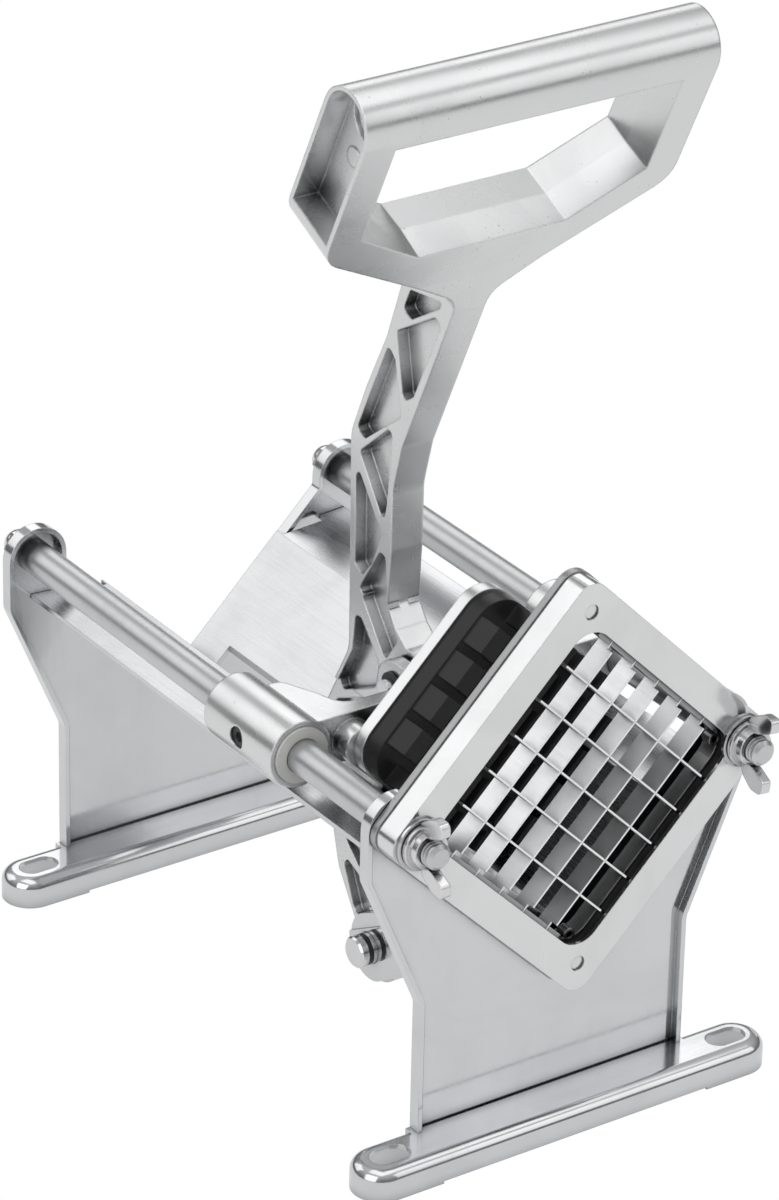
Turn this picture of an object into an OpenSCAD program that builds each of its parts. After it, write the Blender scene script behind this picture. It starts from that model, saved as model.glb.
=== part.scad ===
// French fry cutter with a lever press, as an assembly of separate pieces.
// The origin lies on the floor, below the middle of the whole machine.
// +X is to the right, -Y is the front where the fries come out, +Z is up.

/* [Stands] */
// Distance between the front and the rear stand
stand_pitch = 195; // [185:1:225]
// Thickness of the stand sheet
sheet_t = 1.5; // [1:0.1:2]
// How far the rim of a stand stands in front of its sheet
rim_depth = 2.6; // [2:0.1:3.4]
// Half width of a stand at its foot
leg_half = 47; // [43:0.5:50]
// Height of the straight lower part of a stand
leg_straight = 42.8; // [36:0.2:50]
// Height at which the widening sides reach the ears
shoulder_rise = 88; // [82:0.5:94]
// Radius of the ears round the rails
ear_r = 10; // [9:0.1:11]
// Radius of the corners in a stand's outline
outline_r = 5; // [2:0.5:8]

/* [Feet] */
// Length of a foot
foot_l = 144; // [138:1:160]
// Width of a foot
foot_w = 18; // [16:0.5:24]
// Height of a foot
foot_h = 9.5; // [8:0.1:12]
// Thickness of the foot sheet
foot_wall = 1.5; // [1:0.1:2]
// Radius of the foot's upper edge
foot_edge_r = 4; // [3:0.1:5]
// How far the middle of the skirt is clear of the floor
foot_lift = 0.8; // [0.3:0.1:2]
// Distance between the two slots of a foot
slot_pitch = 120; // [112:1:124]
// Width of a slot
slot_w = 8; // [5:0.1:9]
// End-to-end length of a slot
slot_l = 13; // [10:0.1:15]

/* [Rails] */
// Distance between the two rails
rail_pitch = 112.4; // [112:0.2:116]
// Height of the rails above the feet
rail_rise = 103.8; // [100:0.2:112]
// Diameter of a rail
rail_d = 10.5; // [8:0.1:11]
// Diameter of the threaded front end of a rail
stud_d = 8; // [6:0.1:8]
// Thread pitch of the front end
thread_pitch = 1.25; // [1:0.05:1.5]
// How far the front ends stand out of the front stand
stud_reach = 23.4; // [22:0.1:26]
// Diameter of the rear end of a rail
rear_stud_d = 6; // [4:0.1:7]
// Size across flats of a cap nut
cap_nut_af = 10; // [9:0.1:11]
// Height of the hexagon of a cap nut
cap_nut_h = 5; // [4:0.1:6]
// Thickness of a rear washer
rear_washer_t = 1.6; // [1:0.1:2]
// Diameter of a rear washer
rear_washer_d = 13; // [12:0.1:16]

/* [Trough] */
// Thickness of the trough sheet
trough_t = 1.5; // [1:0.1:2]
// Distance below the rails at which the walls bend into the flanges
bend_drop = 14.8; // [13.5:0.1:16]
// Half width over the flanges
trough_half = 57.3; // [52:0.1:59]
// Half width of the lever slot in the bottom
slot_half = 5.2; // [5.1:0.1:8]
// Distance of the lever slot's front end from the front stand
slot_start = 45; // [40:1:48]
// Distance of the lever slot's rear end from the rear stand
slot_margin = 15; // [10:1:22]

/* [Knife] */
// Distance between neighbouring blades
blade_pitch = 12; // [10.5:0.1:12.4]
// Thickness of a blade
blade_t = 0.6; // [0.4:0.1:0.8]
// Width of a blade strip, front to back
blade_depth = 7.4; // [6.4:0.1:7.5]
// How far the blades' ends stand back behind their cutting edges
head_step = 2.4; // [1.5:0.1:3]
// Distance of the outer blades from the trough walls
blade_margin = 9; // [8.5:0.1:10]
// Side of the square window in the cover
window_side = 75.5; // [74:0.5:77]
// Radius of the window's corners
window_r = 8; // [7.5:0.1:10]
// How far the cover's side corners reach beyond the rail axes
cover_corner = 9.2; // [8.6:0.1:11]
// Radius of the cover's corners
cover_r = 6; // [5:0.5:8]
// Thickness of the cover sheet
cover_t = 1.2; // [0.8:0.1:1.5]
// Depth of the cover, front to back
cover_depth = 8.1; // [7.9:0.1:8.6]
// Thickness of the frame plate behind the cover
frame_t = 2.3; // [2:0.1:2.6]
// Depth of the comb that stands on the frame plate
comb_depth = 3.5; // [3:0.1:4.5]
// Diameter of the two cover pins
cover_pin_d = 4.6; // [3:0.1:5]
// Diameter of a front washer
front_washer_d = 16; // [15:0.1:18]
// Thickness of a front washer
front_washer_t = 1.2; // [0.8:0.1:1.5]

/* [Wing nuts] */
// Diameter of a wing nut's base
nut_base_d = 14; // [13.5:0.1:15]
// Height of a wing nut's hub
nut_h = 4.3; // [4:0.1:6]
// Half span over the wings
wing_reach = 11.9; // [11:0.1:14]
// Height of the wing tips above a nut's base
wing_rise = 11.3; // [9:0.1:14]
// Thickness of a wing
wing_t = 3; // [2:0.1:4]
// Turn of the left wing nut from upright
left_turn = -2; // [-180:1:180]
// Turn of the right wing nut from upright
right_turn = 7; // [-180:1:180]

/* [Pusher] */
// Width of the slots between the pegs
peg_gap = 3; // [2:0.1:4]
// Distance of the peg tips from the front stand
peg_tip = 21.3; // [21:0.1:24]
// Thickness of the block behind the pegs
block_base = 6.5; // [5:0.1:7.5]
// Thickness of the plate behind the block
plate_t = 4.2; // [3:0.1:4.5]
// Distance of the plate's back from the front stand
plate_back = 41.2; // [40:0.1:43]
// Gap between the plate and the trough walls
plate_gap = 0.4; // [0.3:0.1:1]
// Radius of the plate's corners
plate_r = 10; // [8:0.5:12]

/* [Carriage] */
// Distance of the carriage's front from the front stand
carriage_front = 47; // [46.5:0.1:48]
// Length of the rail housings
housing_l = 35; // [30:0.5:38]
// Outer diameter of a rail housing
housing_d = 20.8; // [20:0.1:21.4]
// Outer diameter of a plastic bush
bush_d = 17.4; // [14:0.1:18]
// Clearance between a bush and its rail
rail_play = 0.08; // [0.04:0.01:0.1]
// Thickness of the cross wall
cross_t = 4.6; // [3:0.1:5]
// Thickness of the top webs
web_t = 3; // [2:0.1:4]
// Diameter of the grub screws
grub_d = 6.4; // [4:0.1:7]

/* [Lever] */
// Distance of the hinge from the front stand
hinge_y = 67; // [66:0.1:68]
// Diameter of the hinge pin
hinge_pin_d = 5.8; // [4:0.1:7]
// Height of the handle's base above the hinge
grip_rise = 150.7; // [145:0.1:160]
// Distance of the handle's base in front of the hinge
grip_forward = 28.1; // [24:0.1:32]
// Forward lean of the handle
grip_lean = 25.5; // [22:0.1:28]
// Half width of the handle
handle_half = 58.5; // [56:0.5:66]
// Depth of the handle and the shank, front to back
handle_depth = 21.3; // [20:0.1:24]
// Height of the hand grip's middle above the handle's base
grip_top = 50.3; // [49:0.1:56]
// Half width of the hand hole
hole_half = 47.8; // [45:0.1:50]
// Half thickness of the shank
shank_half = 5.5; // [5:0.1:5.7]
// Half thickness of the shank below the hinge, which passes the trough's slot
shank_low_half = 4.5; // [4:0.1:4.8]
// Half thickness of the web between the shank's pockets
web_half = 1.6; // [1:0.1:2.5]
// Depth of the lower pivot below the hinge
pivot_drop = 95; // [94:0.1:96]
// Distance of the lower pivot behind the hinge
pivot_back = 12; // [11:0.1:13]
// Diameter of the lower pivot pin
pivot_pin_d = 10; // [8:0.1:11]
// Radius of the lever's lower boss
boss_r = 11.8; // [11:0.1:12.5]

/* [Link] */
// Distance of the bracket pin from the front stand
anchor_y = 30; // [28:0.1:33]
// Height of the bracket pin above the feet
anchor_z = 37; // [35:0.1:38]
// Thickness of a link cheek
cheek_t = 3; // [2:0.1:3.4]
// Radius of a cheek's rear eye
rear_eye_r = 10.6; // [9.5:0.1:11]
// Radius of a cheek's front eye
front_eye_r = 8.6; // [7:0.1:9]
// Diameter of the link's front pin
anchor_pin_d = 8; // [6:0.1:8]
// Width of the bracket's windows round the pin, front to back
anchor_window_w = 19.8; // [19.6:0.1:21]
// Height of the bracket's windows round the pin
anchor_window_h = 21.2; // [21:0.1:23]
// Thickness of the bracket sheet
bracket_t = 3; // [2:0.1:4]

/* [Hidden] */

$fn = 48;
eps = 0.01;
cut = 1;             // how far cutters pass through a face
seat = 0.2;          // gap between sheets that lie on each other
hole_play = 0.25;    // radial play of a clearance hole
foot_gap = 0.5;      // gap between a stand's sheet and its foot
fit_play = 0.05;     // radial play of a fixed pin in its hole
run_play = 0.08;     // radial play of a running pin in its hole
side_play = 0.3;     // side play between moving pieces
half_turn = 180;
full_turn = 360;
rail_x = rail_pitch / 2;

// Trough and knife follow the blade pattern
blade_count = 5;
blade_pos = [for (i = [0:blade_count - 1]) (i - (blade_count - 1) / 2) * blade_pitch];
chute_half = blade_pos[blade_count - 1] + blade_margin;
trough_z = rail_rise - chute_half * sqrt(2);
bend_z = rail_rise - bend_drop;
bend_half = bend_z - trough_z;
flange_rise = 1.8;
notch_z = trough_z - trough_t * sqrt(2) - seat * sqrt(2);
rim_inner = rail_x - ear_r / 2;

// Knife stack, from the stand's rim forward
frame_back = -rim_depth - seat;
frame_front = frame_back - frame_t;
cover_front = frame_front - cover_depth;
cover_back = cover_front + cover_t;
cover_side = 2 * ((rail_x + cover_corner - cover_r) / sqrt(2) + cover_r);
blade_front = cover_front + 0.3;
blade_rear = blade_front + blade_depth;
head_front = blade_front + head_step;
head_in = window_side / 2 - 2.75;
comb_in = window_side / 2;
comb_front = frame_front - comb_depth;
tooth_in = comb_in - 1.35;
tooth_out = comb_in + 0.8;
tooth_half = blade_pos[blade_count - 1] + blade_pitch / 2;
holder_in = tooth_out + seat;
holder_out = cover_side / 2 - cover_t - 0.8;
head_out = holder_out - 2;
boss_place = (comb_in - window_r) * sqrt(2) + window_r - 0.8;
cover_pin_x = cover_side / sqrt(2) - 11.3;
washer_front = cover_front - front_washer_t;
nut_base = washer_front - side_play;

// Datum: front face of the front sheet, top of the feet
dome_r = cap_nut_af / 2 - 0.1;
rear_tip = stand_pitch + sheet_t + rear_washer_t + cap_nut_h + dome_r;
front_tip = nut_base - wing_rise;
front_y = -(front_tip + rear_tip) / 2;
foot_y = -(foot_w / 2 - sheet_t);

// Pusher
plate_half = chute_half - plate_gap;
block_half = plate_half - 0.6;
plate_front = plate_back - plate_t;
block_front = plate_front - block_base;
peg_half = blade_pos[blade_count - 1] - peg_gap / 2;
screw_offset = 1.5 * blade_pitch * sqrt(2);
screw_end = block_front - 5;

// Carriage
cross_front = carriage_front + 1;
cross_back = cross_front + cross_t;
housing_back = carriage_front + housing_l;
web_top = housing_d / 2 - 2.2;
lug_in = shank_half + 1.1;
lug_out = lug_in + 4.4;
lug_r = 8;
hinge_reach = lug_out + 3.5;
hinge_washer_d = 14;
web_edge = 2.8;      // the web's outline, inward from the rails' axes: its side,
web_shoulder = 10.7; // the shoulder behind the hinge,
web_bay = 15.7;      // the start of the bay
web_waist = 18.4;    // and the bay's inner corner

// Lever
grip_y = hinge_y - grip_forward;
grip_z = rail_rise + grip_rise;
grip_r = handle_depth / 2;
pivot_y = hinge_y + pivot_back;
pivot_z = rail_rise - pivot_drop;
boss_half = 6;
hinge_boss_d = 20;
wide_drop = 15.8;    // the shank is full width from this far below the hinge
shank_margin = 6;    // how far pocket cutters pass through the shank's sides
cheek_in = boss_half + side_play;
cheek_out = cheek_in + cheek_t;
pivot_reach = cheek_out + 5.6;
lug_gap = 0.7;
bracket_in = cheek_out + lug_gap;
bracket_out = bracket_in + bracket_t;

// ---------- outlines ----------

// Left normal of the edge from a to b
function edge_normal(a, b) = let (d = b - a) [-d[1], d[0]] / norm(d);

// Closed outline p moved inward by t, with mitred corners
function inset(p, t) = [
    for (i = [0:len(p) - 1])
        let (n = len(p),
             a = edge_normal(p[(i + n - 1) % n], p[i]),
             b = edge_normal(p[i], p[(i + 1) % n]))
        p[i] + t * (a + b) / (1 + a * b)
];

// Open path p moved to its right by t
function beside(p, t) = [
    for (i = [0:len(p) - 1])
        let (a = edge_normal(p[max(i - 1, 0)], p[max(i, 1)]),
             b = edge_normal(p[min(i, len(p) - 2)], p[min(i + 1, len(p) - 1)]))
        p[i] - t * (a + b) / (1 + a * b)
];

function reversed(p) = [for (i = [len(p) - 1:-1:0]) p[i]];

// Right half of an outline, from bottom to top, made whole
function both_halves(p) = concat(p, [
    for (q = reversed(p)) if (q[0] > 0) [-q[0], q[1], q[2]]
]);

// Arc that rounds the corner v between its neighbours a and b
function corner(a, v, b, r, n) =
    let (u = (a - v) / norm(a - v),
         w = (b - v) / norm(b - v),
         half = acos(u * w) / 2,
         p = v + u * r / tan(half),
         q = v + w * r / tan(half),
         c = v + (u + w) / norm(u + w) * r / sin(half),
         start = atan2(p[1] - c[1], p[0] - c[0]),
         stop = atan2(q[1] - c[1], q[0] - c[0]),
         turn = (stop - start + 3 * half_turn) % full_turn - half_turn)
    [for (k = [0:n]) c + r * [cos(start + turn * k / n), sin(start + turn * k / n)]];

function flat(p) = [p[0], p[1]];

// Outline of [x, y, radius] points with its corners rounded
function rounded(p, n = 4) = [
    for (i = [0:len(p) - 1])
        let (m = len(p), r = p[i][2])
        each r > 0
            ? corner(flat(p[(i + m - 1) % m]), flat(p[i]), flat(p[(i + 1) % m]), r, n)
            : [flat(p[i])]
];

// Outline of a strap round two eyes: centres a and b, radii ra and rb
function strap(a, ra, b, rb) =
    let (d = b - a,
         along = atan2(d[1], d[0]),
         open = acos((ra - rb) / norm(d)))
    [
        a + ra * [cos(along + open), sin(along + open)],
        a + ra * [cos(along - open), sin(along - open)],
        b + rb * [cos(along - open), sin(along - open)],
        b + rb * [cos(along + open), sin(along + open)]
    ];

module rounded_square(side, r) {
    square([side, side - 2 * r], center = true);
    square([side - 2 * r, side], center = true);
    for (x = [-1, 1], y = [-1, 1])
        translate([x, y] * (side / 2 - r)) circle(r);
}

// Slot along X: end-to-end length l, width w
module slot_shape(l, w) {
    square([l - w, w], center = true);
    for (s = [-1, 1]) translate([s * (l - w) / 2, 0]) circle(d = w);
}

// ---------- placing ----------

// Pieces are drawn from the datum and set on the feet here
module machine() {
    translate([0, front_y, foot_h]) children();
}

// Shape in the X-Z plane, from y0 to y1
module slab(y0, y1) {
    translate([0, y1, 0]) rotate([90, 0, 0]) linear_extrude(y1 - y0) children();
}

// Shape in the Y-Z plane, from x0 to x1
module plank(x0, x1) {
    translate([x0, 0, 0]) rotate([90, 0, 90]) linear_extrude(x1 - x0) children();
}

// Round bar along Y
module rod(d, y0, y1) {
    translate([0, y0, 0]) rotate([-90, 0, 0]) cylinder(d = d, h = y1 - y0);
}

// Round bar along X at a place in the Y-Z plane
module cross_rod(d, x0, x1, y, z) {
    translate([x0, y, z]) rotate([0, 90, 0]) cylinder(d = d, h = x1 - x0);
}

// Ring along X
module cross_ring(d, bore, x0, x1, y, z) {
    difference() {
        cross_rod(d, x0, x1, y, z);
        cross_rod(bore, x0 - cut, x1 + cut, y, z);
    }
}

module at_rails() {
    for (s = [-1, 1]) translate([s * rail_x, 0, rail_rise]) children();
}

// The knife and the pusher stand on their corners
module diamond() {
    translate([0, rail_rise]) rotate(45) children();
}

// Handle frame: X across, Y through the handle, Z up along its lean
module in_handle() {
    translate([0, grip_y, grip_z]) rotate([grip_lean, 0, 0]) children();
}

// ---------- stands and feet ----------

function stand_half(t) = [
    [leg_half, -t, 0],
    [leg_half, leg_straight, outline_r],
    [rail_x + ear_r, shoulder_rise, outline_r],
    [rail_x + ear_r, rail_rise + t, 0],
    [rail_x - ear_r, rail_rise + t, 0],
    [rail_x - ear_r, notch_z + rail_x - ear_r, outline_r / 2],
    [0, notch_z, 0]
];

// Stand outline, its edge moved inward by t
module stand_shape(t) {
    polygon(inset(rounded(both_halves(stand_half(t))), t));
    for (s = [-1, 1]) translate([s * rail_x, rail_rise]) circle(ear_r - t);
}

module stand(stud) {
    difference() {
        slab(-rim_depth, sheet_t) stand_shape(0);
        slab(-rim_depth - cut, 0) stand_shape(sheet_t);
        at_rails() rod(stud + 2 * hole_play, -rim_depth - cut, sheet_t + cut);
        translate([sheet_t - leg_half, -rim_depth - cut, -cut])
            cube([2 * (leg_half - sheet_t), rim_depth + sheet_t + 2 * cut, cut + foot_gap]);
    }
}

// The knife lies flat on the front stand, so the rim ends beside its V notch
module front_plate() {
    low = notch_z - 3 * sheet_t;
    high = rail_rise + 2 * ear_r;
    color("gainsboro") machine() difference() {
        stand(stud_d);
        slab(-rim_depth - cut, 0) polygon([
            [0, low], [rim_inner, low + rim_inner], [rim_inner, high],
            [-rim_inner, high], [-rim_inner, low + rim_inner]
        ]);
    }
}

module rear_plate() {
    color("gainsboro") machine() translate([0, stand_pitch, 0]) stand(rear_stud_d);
}

// Solid bar with round ends and a rounded upper edge
module stadium(l, w, h, r) {
    half = (l - w) / 2;
    rotate([90, 0, 90]) linear_extrude(2 * half, center = true) {
        translate([-w / 2, 0]) square([w, h - r]);
        translate([-w / 2 + r, 0]) square([w - 2 * r, h]);
        for (s = [-1, 1]) translate([s * (w / 2 - r), h - r]) circle(r);
    }
    for (s = [-1, 1]) translate([s * half, 0, 0]) rotate_extrude() {
        square([w / 2, h - r]);
        square([w / 2 - r, h]);
        translate([w / 2 - r, h - r]) circle(r);
    }
}

module foot() {
    land = leg_half + sheet_t;
    lift_half = slot_pitch / 2 - slot_l;
    difference() {
        union() {
            stadium(foot_l, foot_w, foot_h, foot_edge_r);
            translate([-land, 0, 0]) cube([2 * land, foot_w / 2, foot_h]);
        }
        translate([0, 0, -cut]) {
            stadium(foot_l - 2 * foot_wall, foot_w - 2 * foot_wall,
                    foot_h - foot_wall + cut, foot_edge_r - foot_wall);
            translate([-land + foot_wall, 0, 0])
                cube([2 * (land - foot_wall), foot_w / 2 - foot_wall, foot_h - foot_wall + cut]);
        }
        for (s = [-1, 1]) translate([s * slot_pitch / 2, 0, foot_h - 2 * foot_wall])
            linear_extrude(3 * foot_wall) slot_shape(slot_l, slot_w);
        translate([-lift_half, -foot_w, -cut]) cube([2 * lift_half, 2 * foot_w, cut + foot_lift]);
    }
}

module front_foot() {
    color("silver") machine() translate([0, foot_y, -foot_h]) foot();
}

module rear_foot() {
    color("silver") machine() translate([0, foot_y + stand_pitch, -foot_h]) foot();
}

// ---------- rails and their fastenings ----------

// Ridged bar along Y from y0 forward, with a chamfered tip
module front_thread(y0) {
    bevel = 1.1;
    depth = 0.55 * thread_pitch;
    tip = stud_reach + y0;
    turns = floor((tip - bevel) / thread_pitch);
    translate([0, y0, 0]) rotate([90, 0, 0]) rotate_extrude() polygon(concat(
        [[0, 0]],
        [for (i = [0:turns - 1]) each [
            [stud_d / 2, (i + 0.1) * thread_pitch],
            [stud_d / 2 - depth, (i + 0.5) * thread_pitch],
            [stud_d / 2, (i + 0.9) * thread_pitch]
        ]],
        [[stud_d / 2, tip - bevel], [stud_d / 2 - bevel, tip], [0, tip]]
    ));
}

module rail() {
    thread_start = washer_front;
    rod(rail_d, sheet_t, stand_pitch);
    rod(stud_d, thread_start, sheet_t + eps);
    front_thread(thread_start + eps);
    rod(rear_stud_d, stand_pitch - eps, stand_pitch + sheet_t + rear_washer_t + cap_nut_h);
}

module left_rail() {
    color("silver") machine() translate([-rail_x, 0, rail_rise]) rail();
}

module right_rail() {
    color("silver") machine() translate([rail_x, 0, rail_rise]) rail();
}

module rear_washers() {
    y = stand_pitch + sheet_t;
    color("silver") machine() at_rails() difference() {
        rod(rear_washer_d, y, y + rear_washer_t);
        rod(rear_stud_d + 2 * hole_play, y - cut, y + rear_washer_t + cut);
    }
}

module rear_cap_nuts() {
    y = stand_pitch + sheet_t + rear_washer_t;
    color("silver") machine() at_rails() difference() {
        union() {
            translate([0, y, 0]) rotate([-90, 0, 0])
                cylinder(d = cap_nut_af / cos(30), h = cap_nut_h, $fn = 6);
            translate([0, y + cap_nut_h, 0]) sphere(dome_r);
        }
        rod(rear_stud_d + 2 * fit_play, y - cut, y + cap_nut_h + 1.5);
    }
}

// ---------- trough ----------

module trough() {
    half_path = [[bend_half, bend_z, 0], [trough_half, bend_z + flange_rise, 0]];
    upper = concat(
        [for (p = reversed(half_path)) [-p[0], p[1]]],
        [[0, trough_z]],
        [for (p = half_path) flat(p)]
    );
    back = stand_pitch - seat;
    notch_in = bend_half + 0.5;
    notch_out = rail_x - ear_r + sheet_t + 0.5;
    color("whitesmoke") machine() difference() {
        slab(sheet_t + seat, back) polygon(concat(reversed(upper), beside(upper, trough_t)));
        translate([-slot_half, slot_start, trough_z - 3 * trough_t])
            cube([2 * slot_half, stand_pitch - slot_margin - slot_start, slot_half + 6 * trough_t]);
        for (s = [0, 1]) mirror([s, 0, 0])
            translate([notch_in, stand_pitch - rim_depth - 1, bend_z - 3 * trough_t])
                cube([notch_out - notch_in, rim_depth + 2, 6 * trough_t]);
    }
}

// ---------- knife ----------

module stud_holes() {
    for (s = [-1, 1]) translate([s * rail_x, rail_rise]) circle(d = stud_d + 4 * hole_play);
}

module cover_pin_holes() {
    for (s = [-1, 1]) translate([0, rail_rise + s * cover_pin_x])
        circle(d = cover_pin_d + 2 * fit_play);
}

module corner_places() {
    for (turn = [0:90:270]) translate([0, rail_rise]) rotate(turn)
        translate([boss_place, 0]) children();
}

module knife_frame() {
    color("darkgray") machine() difference() {
        union() {
            slab(frame_front, frame_back) difference() {
                diamond() rounded_square(cover_side + 1, cover_r + 0.5);
                diamond() rounded_square(2 * comb_in, window_r);
            }
            slab(comb_front, frame_front + eps) {
                difference() {
                    diamond() rounded_square(2 * holder_out, cover_r - 2);
                    diamond() rounded_square(2 * comb_in, window_r);
                }
                corner_places() circle(2);
            }
            slab(head_front, frame_front + eps) diamond() for (s = [-1, 1])
                translate([s * (tooth_in + tooth_out) / 2, 0])
                    square([tooth_out - tooth_in, 2 * tooth_half], center = true);
        }
        slab(comb_front - cut, frame_back + cut) {
            stud_holes();
            cover_pin_holes();
        }
        slab(comb_front - cut, frame_front - 1) corner_places() circle(1.1);
        blade_slots(blade_rear + seat, head_out + seat);
    }
}

// Room for the ends of the blades, up to the plane y
module blade_slots(y, reach) {
    w = blade_t + 0.3;
    translate([0, 0, rail_rise]) for (turn = [-45, 45]) rotate([0, turn, 0])
        for (p = blade_pos) translate([-reach, cover_back - cut, p - w / 2])
            cube([2 * reach, y - cover_back + cut, w]);
}

module blade_holder() {
    color("#26282b") machine() difference() {
        slab(cover_back, comb_front) difference() {
            diamond() rounded_square(2 * holder_out, cover_r - 2);
            diamond() rounded_square(2 * holder_in, window_r);
            stud_holes();
            cover_pin_holes();
        }
        blade_slots(comb_front + cut, head_out + seat);
    }
}

// One strip seen from its side, with hooked ends and half-lap notches
function blade_outline(rear_notches) =
    let (w = (blade_t + 0.2) / 2,
         mid = (blade_front + blade_rear) / 2,
         deep = rear_notches ? mid - 0.1 : mid + 0.1,
         edge = rear_notches ? blade_rear : blade_front,
         notches = [for (p = blade_pos) each [[p - w, edge], [p - w, deep], [p + w, deep], [p + w, edge]]])
    concat(
        [[-head_out, blade_rear], [-head_out, head_front], [-head_in, head_front], [-head_in, blade_front]],
        rear_notches ? [] : notches,
        [[head_in, blade_front], [head_in, head_front], [head_out, head_front], [head_out, blade_rear]],
        rear_notches ? reversed(notches) : []
    );

module blades(turn, rear_notches) {
    translate([0, 0, rail_rise]) rotate([0, turn, 0])
        for (p = blade_pos) translate([0, 0, p])
            linear_extrude(blade_t, center = true) polygon(blade_outline(rear_notches));
}

module rising_blades() {
    color("white") machine() blades(-45, true);
}

module falling_blades() {
    color("white") machine() blades(45, false);
}

module knife_cover() {
    color("whitesmoke") machine() {
        slab(cover_front, cover_back) difference() {
            diamond() rounded_square(cover_side, cover_r);
            diamond() rounded_square(window_side, window_r);
            stud_holes();
            cover_pin_holes();
        }
        slab(cover_back - eps, frame_front) difference() {
            diamond() rounded_square(cover_side, cover_r);
            diamond() rounded_square(cover_side - 2 * cover_t, cover_r - cover_t);
        }
    }
}

module cover_pins() {
    color("silver") machine() for (s = [-1, 1])
        translate([0, 0, rail_rise + s * cover_pin_x])
            rod(cover_pin_d, cover_front + 0.7, frame_back);
}

module front_washers() {
    color("silver") machine() at_rails() difference() {
        rod(front_washer_d, washer_front, cover_front);
        rod(stud_d + 2 * hole_play, washer_front - cut, cover_front + cut);
    }
}

// ---------- wing nuts ----------

// Wing seen from its side: distance from the axis, height above the base
wing_side = rounded([
    [stud_d / 2 + 1, 0.8, 0],
    [wing_reach - 3.4, 1.2, 3],
    [wing_reach, 6.4, 4],
    [wing_reach, wing_rise, 1.6],
    [wing_reach - 4.2, wing_rise, 1.2],
    [stud_d / 2 + 1.3, 6, 3],
    [stud_d / 2 + 1, nut_h - 0.3, 0]
]);

module wing_nut(turn) {
    hub_top = stud_d / 2 + 1.5;
    translate([0, nut_base, 0]) rotate([90, 0, 0]) difference() {
        union() {
            cylinder(d = nut_base_d, h = 1.4);
            translate([0, 0, 1.4 - eps])
                cylinder(d1 = nut_base_d - 2.4, d2 = 2 * hub_top, h = nut_h - 1.4);
            rotate(90 - turn) for (s = [0, 180]) rotate(s)
                translate([0, wing_t / 2, 0]) rotate([90, 0, 0])
                    linear_extrude(wing_t) polygon(wing_side);
        }
        translate([0, 0, -cut]) cylinder(d = stud_d + 2 * run_play, h = nut_h + 8);
    }
}

module left_wing_nut() {
    color("lightgray") machine() translate([-rail_x, 0, rail_rise]) wing_nut(left_turn);
}

module right_wing_nut() {
    color("lightgray") machine() translate([rail_x, 0, rail_rise]) wing_nut(right_turn);
}

// ---------- pusher ----------

module pusher_plate() {
    color("silver") machine() difference() {
        slab(plate_front, plate_back) diamond() rounded_square(2 * plate_half, plate_r);
        screw_places() rod(4.2, plate_front - cut, plate_back + cut);
    }
}

module screw_places() {
    translate([0, 0, rail_rise]) for (turn = [0:90:270]) rotate([0, turn, 0])
        translate([screw_offset, 0, 0]) children();
}

// The slots between the pegs, both ways
module peg_slots() {
    for (turn = [0, 90], p = blade_pos) rotate(turn)
        translate([p - peg_gap / 2, -2 * peg_half]) square([peg_gap, 4 * peg_half]);
}

module pusher_block() {
    color("#1c1d1f") machine() difference() {
        union() {
            slab(block_front, plate_front) diamond() rounded_square(2 * block_half, plate_r);
            slab(peg_tip, block_front + eps) diamond() difference() {
                for (turn = [0, 90]) rotate(turn)
                    square([2 * block_half - 1, 2 * peg_half], center = true);
                peg_slots();
            }
        }
        screw_places() rod(3.9, screw_end - 1, plate_front + cut);
    }
}

module pusher_screws() {
    color("silver") machine() screw_places() difference() {
        union() {
            rod(3.8, screw_end, plate_back + eps);
            rod(7, plate_back, plate_back + 2.4);
        }
        translate([0, plate_back + 1.2, 0]) rotate([-90, 0, 0])
            cylinder(d = 2.9, h = 2, $fn = 6);
    }
}

// ---------- carriage ----------

// Top web seen from above: right half, from the middle of the front edge
web_half_outline = [
    [0, cross_front, 0],
    [rail_x - web_edge, cross_front, 0],
    [rail_x - web_edge, hinge_y + 7.6, 0],
    [rail_x - web_shoulder, hinge_y + 7.4, 3],
    [rail_x - web_bay, hinge_y - 4, 8],
    [rail_x - web_waist, cross_back + 1, 6],
    [lug_out + 6, cross_back + 0.6, 6],
    [lug_out, cross_back + 6, 0],
    [lug_in, cross_back + 6, 0],
    [lug_in, cross_back, 0]
];

// Cross wall seen from the front: right half, from the bottom
cross_half_outline = [
    [lug_in, -2, 1],
    [lug_out + 3, -9, 3],
    [rail_x - 12, -7, 4],
    [rail_x - 8, -5, 0],
    [rail_x - 8, web_top, 0]
];

// Hinge lug seen from the side, from the cross wall to the hinge
module lug_shape() {
    translate([hinge_y, rail_rise]) circle(lug_r);
    translate([cross_back - eps, rail_rise - lug_r])
        square([hinge_y - cross_back + eps, 2 * lug_r]);
}

module carriage() {
    post_x = plate_half * sqrt(2) - 7.5;
    color("lightgray") machine() difference() {
        union() {
            at_rails() rod(housing_d, carriage_front, housing_back);
            translate([0, 0, rail_rise + web_top - web_t]) linear_extrude(web_t)
                for (s = [0, 1]) mirror([s, 0]) polygon(rounded(web_half_outline));
            slab(cross_front, cross_back) translate([0, rail_rise])
                polygon(rounded(both_halves(cross_half_outline)));
            for (s = [0, 1]) mirror([s, 0, 0]) plank(lug_in, lug_out) lug_shape();
            for (s = [-1, 1]) translate([s * post_x, 0, rail_rise])
                rod(12, plate_back, cross_front + eps);
            translate([0, 0, rail_rise + 2]) rod(10, plate_back, cross_front + eps);
        }
        at_rails() rod(bush_d + 2 * fit_play, carriage_front - 9, housing_back + cut);
        cross_rod(hinge_pin_d + 2 * fit_play, -hinge_reach, hinge_reach, hinge_y, rail_rise);
        grub_places() cylinder(d = grub_d + 0.3, h = housing_d);
    }
}

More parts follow.
